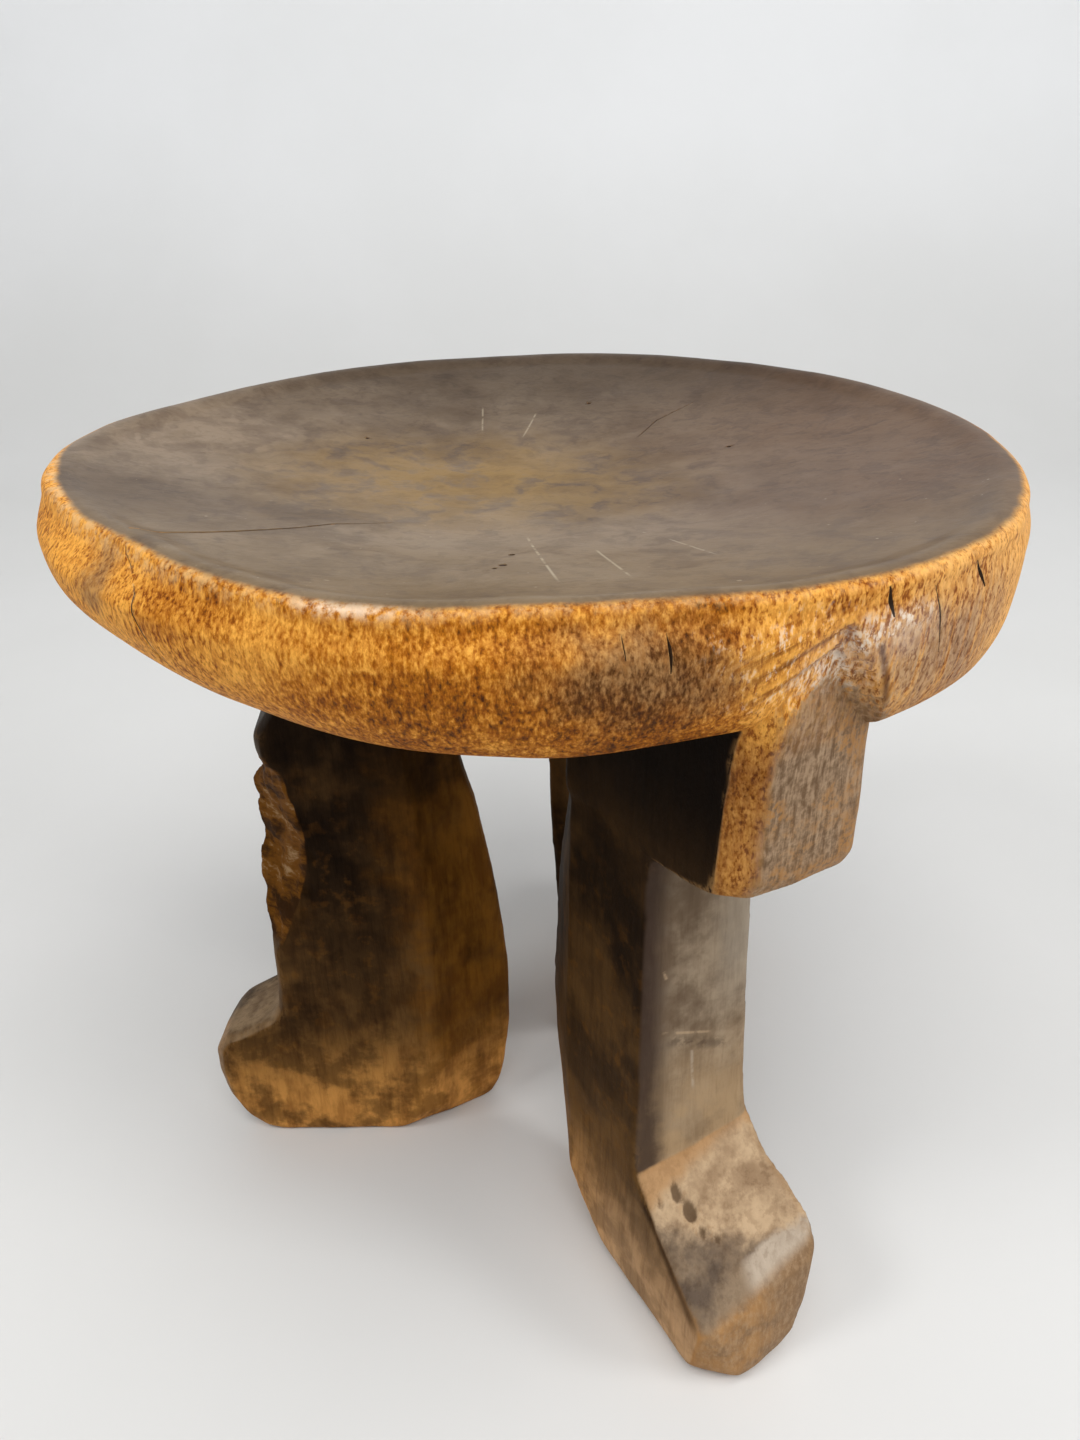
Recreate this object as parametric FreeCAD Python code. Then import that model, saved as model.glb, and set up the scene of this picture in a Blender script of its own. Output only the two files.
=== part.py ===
import FreeCAD, Part
import math
import os

# Three-legged carved wooden stool: a thick dished seat on three bracket-shaped legs.
# Frame: millimetres, +Z up, origin on the floor under the middle of the seat, -Y towards the viewer.
# Every leg is drawn in its own plane: radial distance from the seat's axis against height.

# Seat
seat_height = 300.0  # floor to the top edge of the rim
seat_radius = 153.0  # at the widest line of the rim
rim_depth = 43.0  # top edge of the rim to its lower edge
rim_bulge_depth = 17.0  # top edge down to the widest line
rim_top_inset = 3.0  # top edge inside the widest line
rim_lower_inset = 16.0  # lower edge inside the widest line
rim_top_round = 4.0  # worn top edge
rim_lower_round = 9.0  # lower edge rolling into the underside
dish_depth = 20.0  # rim plane down to the middle of the dish
underside_drop = 6.0  # middle of the underside below the lower rim edge

# Legs
leg_names = ("front_leg", "rear_leg", "left_leg")  # in order round the seat
front_leg_angle = -60.0  # degrees from +X
leg_spacing_angle = 120.0  # degrees from one leg to the next
leg_thickness = 42.0
leg_arris = 4.0  # rounding along the edges of the broad faces
bevel_radius = 56.0  # where the broad faces start to draw together towards the inner edge
bevel_apex_radius = 7.0  # where they would meet
inner_top_radius = 43.0  # inner edge, inside the seat
inner_belly_radius = 13.0  # inner edge at its fullest
inner_belly_height = 92.0
inner_belly_round = 260.0
heel_radius = 24.0
heel_round = 46.0
waist_radius = 103.0  # outer face just below the shoulder
waist_lean = 6.0  # how much further out that face stands at the foot
waist_round = 8.0  # hollow corners above and below the waist

# Shoulder block, the part of a leg that stands out under the rim
shoulder_upper_inset = 5.0  # upper corner inside the widest line of the rim
shoulder_upper_drop = 17.0  # upper corner below the widest line
shoulder_lower_inset = 9.0  # lower corner inside the widest line
shoulder_depth = 51.0  # rim's lower edge down to the lower corner
shoulder_undercut = 8.0  # underside of the block falls this much towards the waist
shoulder_round = 9.0
ledge_round = 3.0

# Foot
foot_height = 73.0  # floor to the corner below the waist
toe_radius = 150.0
toe_height = 54.0
toe_round = 7.0
toe_lower_radius = 147.0
worn_toe_radius = 138.0  # the broken leg's toe is worn back
worn_toe_height = 48.0
worn_toe_lower_radius = 123.0
sole_edge_round = 6.0

# Blind tenon on each leg, glued into the seat
tenon_setback = 10.0  # tenon's outer end inside the waist
tenon_length = 44.0
tenon_width = 16.0
tenon_root = 12.0  # how far the tenon runs down into the leg
mortise_roof = 10.0  # wood between a mortise and the middle of the dish
mortise_clearance = 0.2

# Break of the left leg: its shoulder has split off, and a chip has gone from the waist's near edge
broken_leg = "left_leg"
break_stub_inset = 3.0  # what is left of the shoulder, inside the waist
break_stub_drop = 68.0  # lower edge of the break below the rim's lower edge
chip_depth = 15.0  # inside the waist, on the near face
chip_drop = 108.0  # middle of the chip below the rim's lower edge
chip_round = 60.0
chip_skew = 35.0  # degrees that the chip runs out across the waist

corner_share = 0.49  # most of a side that one corner's rounding may take
same_place = 1e-4  # coordinates nearer than this are one

leg_angles = {name: front_leg_angle + i * leg_spacing_angle for i, name in enumerate(leg_names)}
seat_web = rim_depth + underside_drop - dish_depth
rim_lower_height = seat_height - rim_depth
underside_height = rim_lower_height - underside_drop
bulge_height = seat_height - rim_bulge_depth
shoulder_lower_height = rim_lower_height - shoulder_depth
tenon_height = seat_web - mortise_roof


def point(radius, height):
    return FreeCAD.Vector(radius, 0, height)


def outline(corners):
    """Closed wire through (radius, height, rounding) corners, each rounded by an arc.

    A rounding that its two sides have no room for is limited to what they have."""
    points = [point(radius, height) for radius, height, _ in corners]
    count = len(points)
    lengths = [points[i].distanceToPoint(points[(i + 1) % count]) for i in range(count)]
    joints = []
    for i, corner in enumerate(corners):
        to_last = points[i - 1].sub(points[i]).normalize()
        to_next = points[(i + 1) % count].sub(points[i]).normalize()
        half_angle = to_last.getAngle(to_next) / 2
        room = corner_share * min(lengths[i - 1], lengths[i])
        run = min(corner[2] / math.tan(half_angle), room)
        radius = run * math.tan(half_angle)
        bisector = to_last.add(to_next).normalize()
        reach = radius / math.sin(half_angle) - radius
        start = points[i].add(to_last.multiply(run))
        middle = points[i].add(bisector.multiply(reach))
        end = points[i].add(to_next.multiply(run))
        joints.append((start, middle, end))
    edges = []
    for i, (start, middle, end) in enumerate(joints):
        if start.distanceToPoint(end) > same_place:
            edges.append(Part.Arc(start, middle, end).toShape())
        edges.append(Part.LineSegment(end, joints[(i + 1) % count][0]).toShape())
    return Part.Wire(edges)


def bowl_arc(centre, edge):
    """Arc from a point on the axis out to an edge, level where it crosses the axis."""
    rise = edge.z - centre.z
    ball = (edge.x**2 + rise**2) / (2 * abs(rise))
    half = edge.x / 2
    half_rise = math.copysign(ball - math.sqrt(ball**2 - half**2), rise)
    return Part.Arc(centre, point(half, centre.z + half_rise), edge).toShape()


def rim_edges(disc, height):
    """The circular edges of the disc at that height."""
    found = []
    for edge in disc.Edges:
        box = edge.BoundBox
        if box.ZLength < same_place and abs(box.ZMin - height) < same_place:
            found.append(edge)
    return found


def seat_blank():
    """Dished disc before the mortises are cut."""
    dish = point(0, seat_height - dish_depth)
    lip = point(seat_radius - rim_top_inset, seat_height)
    widest = point(seat_radius, bulge_height)
    lower = point(seat_radius - rim_lower_inset, rim_lower_height)
    belly = point(0, underside_height)
    edges = [
        bowl_arc(dish, lip),
        Part.Arc(lip, widest, lower).toShape(),
        bowl_arc(belly, lower),
        Part.LineSegment(belly, dish).toShape(),
    ]
    profile = Part.Face(Part.Wire(Part.__sortEdges__(edges)))
    disc = profile.revolve(FreeCAD.Vector(0, 0, 0), FreeCAD.Vector(0, 0, 1), 360)
    disc = disc.makeFillet(rim_top_round, rim_edges(disc, lip.z))
    return disc.makeFillet(rim_lower_round, rim_edges(disc, lower.z))


def leg_corners(name):
    """Outline of a whole leg. Its top edge is buried in the seat."""
    buried_height = seat_height - dish_depth - seat_web / 2
    toe = (toe_radius, toe_height, toe_round)
    toe_lower = (toe_lower_radius, 0, sole_edge_round)
    if name == broken_leg:
        toe = (worn_toe_radius, worn_toe_height, toe_round)
        toe_lower = (worn_toe_lower_radius, 0, sole_edge_round)
    return [
        (inner_top_radius, buried_height, 0),
        (inner_belly_radius, inner_belly_height, inner_belly_round),
        (heel_radius, 0, heel_round),
        toe_lower,
        toe,
        (waist_radius + waist_lean, foot_height, waist_round),
        (waist_radius, shoulder_lower_height - shoulder_undercut, waist_round),
        (seat_radius - shoulder_lower_inset, shoulder_lower_height, shoulder_round),
        (seat_radius - shoulder_upper_inset, bulge_height - shoulder_upper_drop, ledge_round),
        (seat_radius - rim_lower_inset, bulge_height, 0),
    ]


def plate(wire, thickness):
    """Prism of that thickness, centred on the leg's own plane."""
    face = Part.Face(wire)
    face.translate(FreeCAD.Vector(0, -thickness / 2, 0))
    return face.extrude(FreeCAD.Vector(0, thickness, 0))


def arris_edges(solid, thickness):
    """Edges that lie in the two broad faces."""
    found = []
    for edge in solid.Edges:
        box = edge.BoundBox
        if box.YLength < same_place and abs(abs(box.YMin) - thickness / 2) < same_place:
            found.append(edge)
    return found


def leg_section():
    """Upright prism of a leg's plan: parallel faces that draw together towards the inner edge."""
    half = leg_thickness / 2
    outside = seat_radius + leg_thickness
    near_side = [(bevel_radius, half), (outside, half)]
    far_side = [(outside, -half), (bevel_radius, -half)]
    corners = [FreeCAD.Vector(x, y, 0) for x, y in [(bevel_apex_radius, 0)] + near_side + far_side]
    face = Part.Face(Part.makePolygon(corners + corners[:1]))
    return face.extrude(FreeCAD.Vector(0, 0, seat_height))


def tenon(clearance):
    """Tongue on top of a leg. With a clearance it is the mortise that takes it."""
    length = tenon_length + 2 * clearance
    width = tenon_width + 2 * clearance
    outer_end = waist_radius - tenon_setback + clearance
    corner = FreeCAD.Vector(outer_end - length, -width / 2, underside_height - tenon_root)
    return Part.makeBox(length, width, tenon_root + tenon_height + clearance, corner)


def split_shoulder():
    """The shoulder block that has broken off, down to a ledge at the top of the waist."""
    stub_radius = waist_radius - break_stub_inset
    ledge_height = rim_lower_height - break_stub_drop
    outside = seat_radius + leg_thickness
    corners = [
        (stub_radius, seat_height, 0),
        (stub_radius, ledge_height, waist_round),
        (outside, ledge_height, 0),
        (outside, seat_height, 0),
    ]
    return plate(outline(corners), 2 * leg_thickness)


def chip():
    """Round-bottomed chip, deepest on the near face, that runs out on the waist's outer face."""
    skew = math.radians(chip_skew)
    along = FreeCAD.Vector(math.sin(skew), -math.cos(skew), 0)
    outwards = FreeCAD.Vector(math.cos(skew), math.sin(skew), 0)
    deepest = FreeCAD.Vector(waist_radius - chip_depth, leg_thickness / 2, rim_lower_height - chip_drop)
    middle = deepest.add(outwards.multiply(chip_round))
    start = middle.sub(FreeCAD.Vector(along).multiply(chip_round))
    return Part.makeCylinder(chip_round, 2 * chip_round, start, along)


def leg(name, blank):
    """One leg, fitted to the underside and rim of the seat, turned to its place."""
    body = plate(outline(leg_corners(name)), leg_thickness)
    body = body.makeFillet(leg_arris, arris_edges(body, leg_thickness))
    body = body.common(leg_section())
    if name == broken_leg:
        body = body.cut(split_shoulder()).cut(chip())
    body = body.cut(blank).fuse(tenon(0)).removeSplitter()
    body.rotate(FreeCAD.Vector(0, 0, 0), FreeCAD.Vector(0, 0, 1), leg_angles[name])
    return body


def seat(blank):
    """The disc with a blind mortise over each leg."""
    disc = blank
    for angle in leg_angles.values():
        mortise = tenon(mortise_clearance)
        mortise.rotate(FreeCAD.Vector(0, 0, 0), FreeCAD.Vector(0, 0, 1), angle)
        disc = disc.cut(mortise)
    return disc


def main():
    os.makedirs("parts", exist_ok=True)
    blank = seat_blank()
    pieces = {"seat": seat(blank)}
    for name in leg_angles:
        pieces[name] = leg(name, blank)
    for name, shape in pieces.items():
        shape.exportStep(f"parts/{name}.step")
        print(f"{name}: {len(shape.Solids)} solid, valid {shape.isValid()}, {shape.Volume / 1000:.0f} cm3")


main()
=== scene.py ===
import math
import bmesh
import bpy
import numpy as np
from mathutils import Matrix, Vector


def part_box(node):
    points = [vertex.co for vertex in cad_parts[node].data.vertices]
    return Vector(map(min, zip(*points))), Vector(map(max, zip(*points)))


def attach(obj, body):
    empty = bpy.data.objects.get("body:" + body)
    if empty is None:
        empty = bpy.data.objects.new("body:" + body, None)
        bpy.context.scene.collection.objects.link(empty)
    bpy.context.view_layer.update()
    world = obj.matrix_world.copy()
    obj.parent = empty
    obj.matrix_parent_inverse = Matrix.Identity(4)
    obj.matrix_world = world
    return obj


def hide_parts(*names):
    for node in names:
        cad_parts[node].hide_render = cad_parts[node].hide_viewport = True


# Old hand-carved stool: a dished seat on three radial legs.
# Sizes in the dictionaries are millimetres, in the studio metres. Masks of the finishes work in metres,
# those beside a block's middle, below its gable or past the lip in millimetres.
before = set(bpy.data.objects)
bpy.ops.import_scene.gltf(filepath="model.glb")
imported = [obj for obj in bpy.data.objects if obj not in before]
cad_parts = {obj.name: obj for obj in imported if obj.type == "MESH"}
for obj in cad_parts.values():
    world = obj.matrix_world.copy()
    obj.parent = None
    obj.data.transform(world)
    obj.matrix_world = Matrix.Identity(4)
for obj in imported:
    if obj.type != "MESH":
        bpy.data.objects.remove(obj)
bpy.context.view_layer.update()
mm = 0.001
seatLow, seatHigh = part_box("seat")
seatTop = seatHigh.z / mm
body = "root"
print("frame loaded:", ", ".join(sorted(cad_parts)))


nodeGrid = {"rows": 5, "width": 220, "height": 260}  # how nodes are laid out in the editor


def findSocket(sockets, key):
    if isinstance(key, int):
        return sockets[key]
    return next(s for s in sockets if s.name == key and s.enabled)


# a socket that adds its Math nodes when it is used in an expression
class Wire:
    def __init__(self, graph, socket):
        self.graph = graph
        self.socket = socket

    def math(self, operation, first, second=0.0):
        return self.graph.node("ShaderNodeMath", {"operation": operation}, {0: first, 1: second})

    def __add__(self, other):
        return self.math("ADD", self, other)

    def __radd__(self, other):
        return self.math("ADD", other, self)

    def __sub__(self, other):
        return self.math("SUBTRACT", self, other)

    def __rsub__(self, other):
        return self.math("SUBTRACT", other, self)

    def __mul__(self, other):
        return self.math("MULTIPLY", self, other)

    def __truediv__(self, other):
        return self.math("DIVIDE", self, other)

    def __rtruediv__(self, other):
        return self.math("DIVIDE", other, self)

    def __abs__(self):
        return self.math("ABSOLUTE", self)

    def larger(self, other):
        return self.math("MAXIMUM", self, other)

    # another colour laid over this one, or multiplied into it, where the mask is 1
    def lay(self, mask, colour):
        return self.graph.mix(mask, self, colour)

    def tint(self, mask, colour):
        return self.graph.mix(mask, self, colour, "MULTIPLY")

    # 0 at low, 1 at high, with soft ends; low may be the larger one
    def between(self, low, high):
        ends = {"Value": self, "From Min": low, "From Max": high}
        return self.graph.node("ShaderNodeMapRange", {"interpolation_type": "SMOOTHSTEP"}, ends)

    def output(self, name):
        return Wire(self.graph, findSocket(self.socket.node.outputs, name))


class Graph:
    def __init__(self, tree):
        self.tree = tree

    # settings first, because they decide which sockets the node shows
    def node(self, kind, settings=None, values=None, output=0):
        made = self.tree.nodes.new(kind)
        column, row = divmod(len(self.tree.nodes), nodeGrid["rows"])
        made.location = (nodeGrid["width"] * column, -nodeGrid["height"] * row)
        for key, value in (settings or {}).items():
            if key == "points":
                self.setCurve(made.mapping, value)
            else:
                setattr(made, key, value)
        for key, value in (values or {}).items():
            socket = findSocket(made.inputs, key)
            if isinstance(value, Wire):
                self.tree.links.new(value.socket, socket)
            elif socket.type == "RGBA":
                socket.default_value = (*value, 1.0)
            else:
                socket.default_value = value
        return Wire(self, findSocket(made.outputs, output) if made.outputs else None)

    def setCurve(self, mapping, points):
        curve = mapping.curves[0]
        while len(curve.points) < len(points):
            curve.points.new(0.5, 0.5)
        for knot, place in zip(curve.points, points):
            knot.location = place
            knot.handle_type = "VECTOR"
        mapping.update()

    def mix(self, factor, first, second, blend="MIX"):
        values = {"Factor": factor, "A": first, "B": second}
        return self.node("ShaderNodeMix", {"data_type": "RGBA", "blend_type": blend}, values, "Result")

    def split(self, place):
        return self.node("ShaderNodeSeparateXYZ", {}, {0: place})

    def join(self, x, y, z=0.0):
        return self.node("ShaderNodeCombineXYZ", {}, {"X": x, "Y": y, "Z": z})

    def vector(self, operation, first, second):
        return self.node("ShaderNodeVectorMath", {"operation": operation}, {0: first, 1: second})

    def scaled(self, first, amount):
        return self.node("ShaderNodeVectorMath", {"operation": "SCALE"}, {"Vector": first, "Scale": amount})

    def dot(self, first, second):
        settings = {"operation": "DOT_PRODUCT"}
        return self.node("ShaderNodeVectorMath", settings, {0: first, 1: second}, "Value")

    def noise(self, place, scale, detail=3.0, roughness=0.55, seed=0.0, output=0):
        values = {"Vector": place, "W": seed, "Scale": scale, "Detail": detail, "Roughness": roughness}
        return self.node("ShaderNodeTexNoise", {"noise_dimensions": "4D"}, values, output)

    # noise drawn out along the upright grain
    def fibres(self, place, squash, *settings):
        return self.noise(self.vector("MULTIPLY", place, (1.0, 1.0, squash)), *settings)

    # places moved about by noise, for ragged edges; reach in millimetres
    def loosened(self, place, reach, *settings):
        shift = self.scaled(self.noise(place, *settings, "Color"), reach * mm)
        return self.vector("SUBTRACT", self.vector("ADD", place, shift), [reach * mm / 2] * 3)

    def length(self, vector):
        return self.node("ShaderNodeVectorMath", {"operation": "LENGTH"}, {0: vector}, "Value")

    # soft-edged ellipsoid, 1 in the middle; centre and size in millimetres
    def spot(self, place, centre, size, soft=0.6):
        away = self.vector("SUBTRACT", place, [c * mm for c in centre])
        away = self.vector("DIVIDE", away, [s * mm for s in size])
        return self.length(away).between(1.0, 1.0 - soft)

    def attribute(self, name, output="Fac"):
        return self.node("ShaderNodeAttribute", {"attribute_name": name}, {}, output)


# an empty Geometry Nodes tree with named inputs, and its Group Input
def startTree(name, inputs):
    tree = bpy.data.node_groups.new(name, "GeometryNodeTree")
    tree.interface.new_socket("Geometry", in_out="INPUT", socket_type="NodeSocketGeometry")
    for label, kind in inputs.items():
        tree.interface.new_socket(label, in_out="INPUT", socket_type="NodeSocket" + kind)
    tree.interface.new_socket("Geometry", in_out="OUTPUT", socket_type="NodeSocketGeometry")
    graph = Graph(tree)
    return graph, graph.node("NodeGroupInput")


def endTree(graph, geometry, material):
    geometry = graph.node("GeometryNodeRealizeInstances", {}, {"Geometry": geometry})
    geometry = graph.node("GeometryNodeSetShadeSmooth", {}, {"Geometry": geometry})
    geometry = graph.node("GeometryNodeSetMaterial", {}, {"Geometry": geometry, "Material": material})
    graph.node("NodeGroupOutput", {}, {"Geometry": geometry})
    return graph.tree


def storeFloat(graph, geometry, name, value, domain="POINT"):
    values = {"Geometry": geometry, "Name": name, "Value": value}
    return graph.node("GeometryNodeStoreNamedAttribute", {"data_type": "FLOAT", "domain": domain}, values)


# modifiers of the piece become its plain mesh
def applyModifiers(piece):
    bpy.context.view_layer.update()
    graph = bpy.context.evaluated_depsgraph_get()
    shaped = piece.evaluated_get(graph)
    mesh = bpy.data.meshes.new_from_object(shaped, preserve_all_data_layers=True, depsgraph=graph)
    piece.modifiers.clear()
    oldMesh = piece.data
    piece.data = mesh
    bpy.data.meshes.remove(oldMesh)


def runTree(piece, tree, values):
    modifier = piece.modifiers.new(tree.name, "NODES")
    modifier.node_group = tree
    for item in tree.interface.items_tree:
        if item.in_out == "INPUT" and item.name in values:
            modifier[item.identifier] = values[item.name]
    applyModifiers(piece)


def addObject(name, data):
    made = bpy.data.objects.new(name, data)
    bpy.context.scene.collection.objects.link(made)
    return made


def polar(angle, radius, height):
    turn = math.radians(angle)
    return Vector((radius * math.cos(turn), radius * math.sin(turn), height)) * mm


# level unit vector
def heading(angle):
    return polar(angle, 1.0 / mm, 0.0)


# smooth curve through given points
def smoothCurve(name, points, closed, resolution=24):
    curve = bpy.data.curves.new(name, "CURVE")
    curve.dimensions = "3D"
    curve.resolution_u = resolution
    spline = curve.splines.new("BEZIER")
    spline.bezier_points.add(len(points) - 1)
    for knot, place in zip(spline.bezier_points, points):
        knot.co = place
        knot.handle_left_type = knot.handle_right_type = "AUTO"
    spline.use_cyclic_u = closed
    made = addObject(name, curve)
    made.hide_render = True
    return made


# a split along places on the surface, wedge-shaped, with the widths and depths of its ends cut down
def wedgeCutter(bm, places, outwards, width, depth, ends, above=0.6, flare=1.5, shallow=0.35):
    last = len(places) - 1
    rings = []
    for i, (place, outward) in enumerate(zip(places, outwards)):
        share = 1.0 if 0 < i < last else ends
        along = places[min(i + 1, last)] - places[max(i - 1, 0)]
        across = along.cross(outward).normalized() * (width * share) / 2 * flare
        mouth = place + outward * depth * above
        bottom = place - outward * depth * (shallow + (1.0 - shallow) * share)
        rings.append([bm.verts.new(p) for p in (mouth + across, mouth - across, bottom)])
    bridgeRings(bm, rings)


def boreCutter(bm, place, outward, radius, depth, sides=12, bottom=0.7, mouth=1.15):
    turn = outward.to_track_quat("Z", "Y").to_matrix().to_4x4()
    middle = Matrix.Translation(place - outward * depth / 2)
    bmesh.ops.create_cone(bm, cap_ends=True, segments=sides, radius1=radius * bottom,
                          radius2=radius * mouth, depth=depth * 2, matrix=middle @ turn)


# faces between neighbouring rings of points, and over both ends
def bridgeRings(bm, rings):
    count = len(rings[0])
    for lower, upper in zip(rings, rings[1:]):
        for k in range(count):
            following = (k + 1) % count
            bm.faces.new((lower[k], lower[following], upper[following], upper[k]))
    bm.faces.new(rings[0][::-1])
    bm.faces.new(rings[-1])


def finishMesh(bm, name):
    mesh = bpy.data.meshes.new(name)
    bm.to_mesh(mesh)
    bm.free()
    return mesh


# Tool marks of every piece: noise scales per metre, reaches and heights in millimetres
toolMarks = {
    "wanderScale": 60.0,
    "wanderReach": 8.0,  # how far strokes stray
    "strokeLevel": 0.2,  # where a stroke's hollow meets the surface
    "ragScale": 90.0,
    "ragReach": 14.0,  # raggedness of a break's outline
    "breakEdge": 0.72,  # share of a break that is raw all through
    "splinterScale": 260.0,
    "splinterSquash": 0.16,
    "chunkScale": 75.0,
    "chunkShare": 1.4,
    "wearHeight": 0.22,  # an edge this proud is worn
    "wearBlur": 6,
}


# shallow adze strokes, long waves and splintered breaks along the normal, plus how worn each edge is
def carvingTree():
    form = toolMarks
    floats = ("Stroke Size", "Stroke Depth", "Wave Size", "Wave Depth", "Splinter Depth", "Seed")
    inputs = {"Scar Place": "Vector", "Scar Size": "Vector", "Material": "Material"}
    graph, given = startTree("handCarving", {**dict.fromkeys(floats, "Float"), **inputs})
    place = graph.node("GeometryNodeInputPosition")
    normal = graph.node("GeometryNodeInputNormal")
    seed = given.output("Seed")

    wander = graph.noise(place, form["wanderScale"], 2.0, 0.5, seed, "Color")
    strokePlace = graph.vector("ADD", place, graph.scaled(wander, form["wanderReach"] * mm))
    voronoi = {"Vector": strokePlace, "W": seed, "Scale": 1.0 / given.output("Stroke Size")}
    stroke = graph.node("ShaderNodeTexVoronoi", {"voronoi_dimensions": "4D"}, voronoi, "Distance")
    strokes = (stroke * stroke - form["strokeLevel"]) * given.output("Stroke Depth")

    wave = graph.noise(place, 1.0 / given.output("Wave Size"), 2.0, 0.45, seed + 7.0)
    waves = (wave - 0.5) * given.output("Wave Depth") * 2.0

    loose = graph.loosened(place, form["ragReach"], form["ragScale"], 4.0, 0.6, seed)
    away = graph.vector("SUBTRACT", loose, given.output("Scar Place"))
    away = graph.vector("DIVIDE", away, given.output("Scar Size"))
    raw = graph.length(away).between(1.0, form["breakEdge"])
    splinter = graph.fibres(place, form["splinterSquash"], form["splinterScale"], 4.0, 0.6, seed)
    chunk = graph.noise(place, form["chunkScale"], 3.0, 0.5, seed + 3.0)
    rough = (splinter - 0.5) + (chunk - 0.5) * form["chunkShare"]
    breaks = rough * given.output("Splinter Depth") * 2.0 * raw

    offset = graph.scaled(normal, strokes * (1.0 - raw) + waves + breaks)
    values = {"Geometry": given.output("Geometry"), "Offset": offset}
    carved = graph.node("GeometryNodeSetPosition", {}, values)
    onFloor = graph.vector("MAXIMUM", place, (-1.0, -1.0, 0.0))
    carved = graph.node("GeometryNodeSetPosition", {}, {"Geometry": carved, "Position": onFloor})
    carved = storeFloat(graph, carved, "raw", raw)
    values = {"Value": place, "Iterations": form["wearBlur"]}
    blurred = graph.node("GeometryNodeBlurAttribute", {"data_type": "FLOAT_VECTOR"}, values)
    proud = graph.dot(graph.vector("SUBTRACT", place, blurred), normal)
    carved = storeFloat(graph, carved, "wear", proud / (form["wearHeight"] * mm))
    return endTree(graph, carved, given.output("Material"))


# cutters are taken out of the piece, and the faces they leave are marked
def cutTree():
    graph, given = startTree("openCuts", {"Cutters": "Object", "Material": "Material"})
    whole = storeFloat(graph, given.output("Geometry"), "cut", 0.0, "FACE")
    cutters = graph.node("GeometryNodeObjectInfo", {}, {"Object": given.output("Cutters")}, "Geometry")
    cutters = storeFloat(graph, cutters, "cut", 1.0, "FACE")
    opened = graph.node("GeometryNodeMeshBoolean", {"operation": "DIFFERENCE", "solver": "MANIFOLD"},
                        {"Mesh 1": whole, "Mesh 2": cutters}, "Mesh")
    return endTree(graph, opened, given.output("Material"))


carving = carvingTree()
cutting = cutTree()
noBreak = {"place": (0, 0, -1000), "size": (10, 10, 10), "depth": 0.0}  # far under the floor


# tool marks all over a piece, and a splintered break, whose place is given in the piece's own frame
def carve(piece, form, broken, angle, seed, material):
    turn = Matrix.Rotation(math.radians(angle), 3, "Z")
    runTree(piece, carving, {
        "Stroke Size": form["strokeSize"] * mm, "Stroke Depth": form["strokeDepth"] * mm,
        "Wave Size": form["waveSize"] * mm, "Wave Depth": form["waveDepth"] * mm,
        "Scar Place": turn @ Vector(broken["place"]) * mm, "Scar Size": Vector(broken["size"]) * mm,
        "Splinter Depth": broken["depth"] * mm, "Seed": seed, "Material": material})
    print(piece.name, "carved:", len(piece.data.polygons), "faces")


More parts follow.
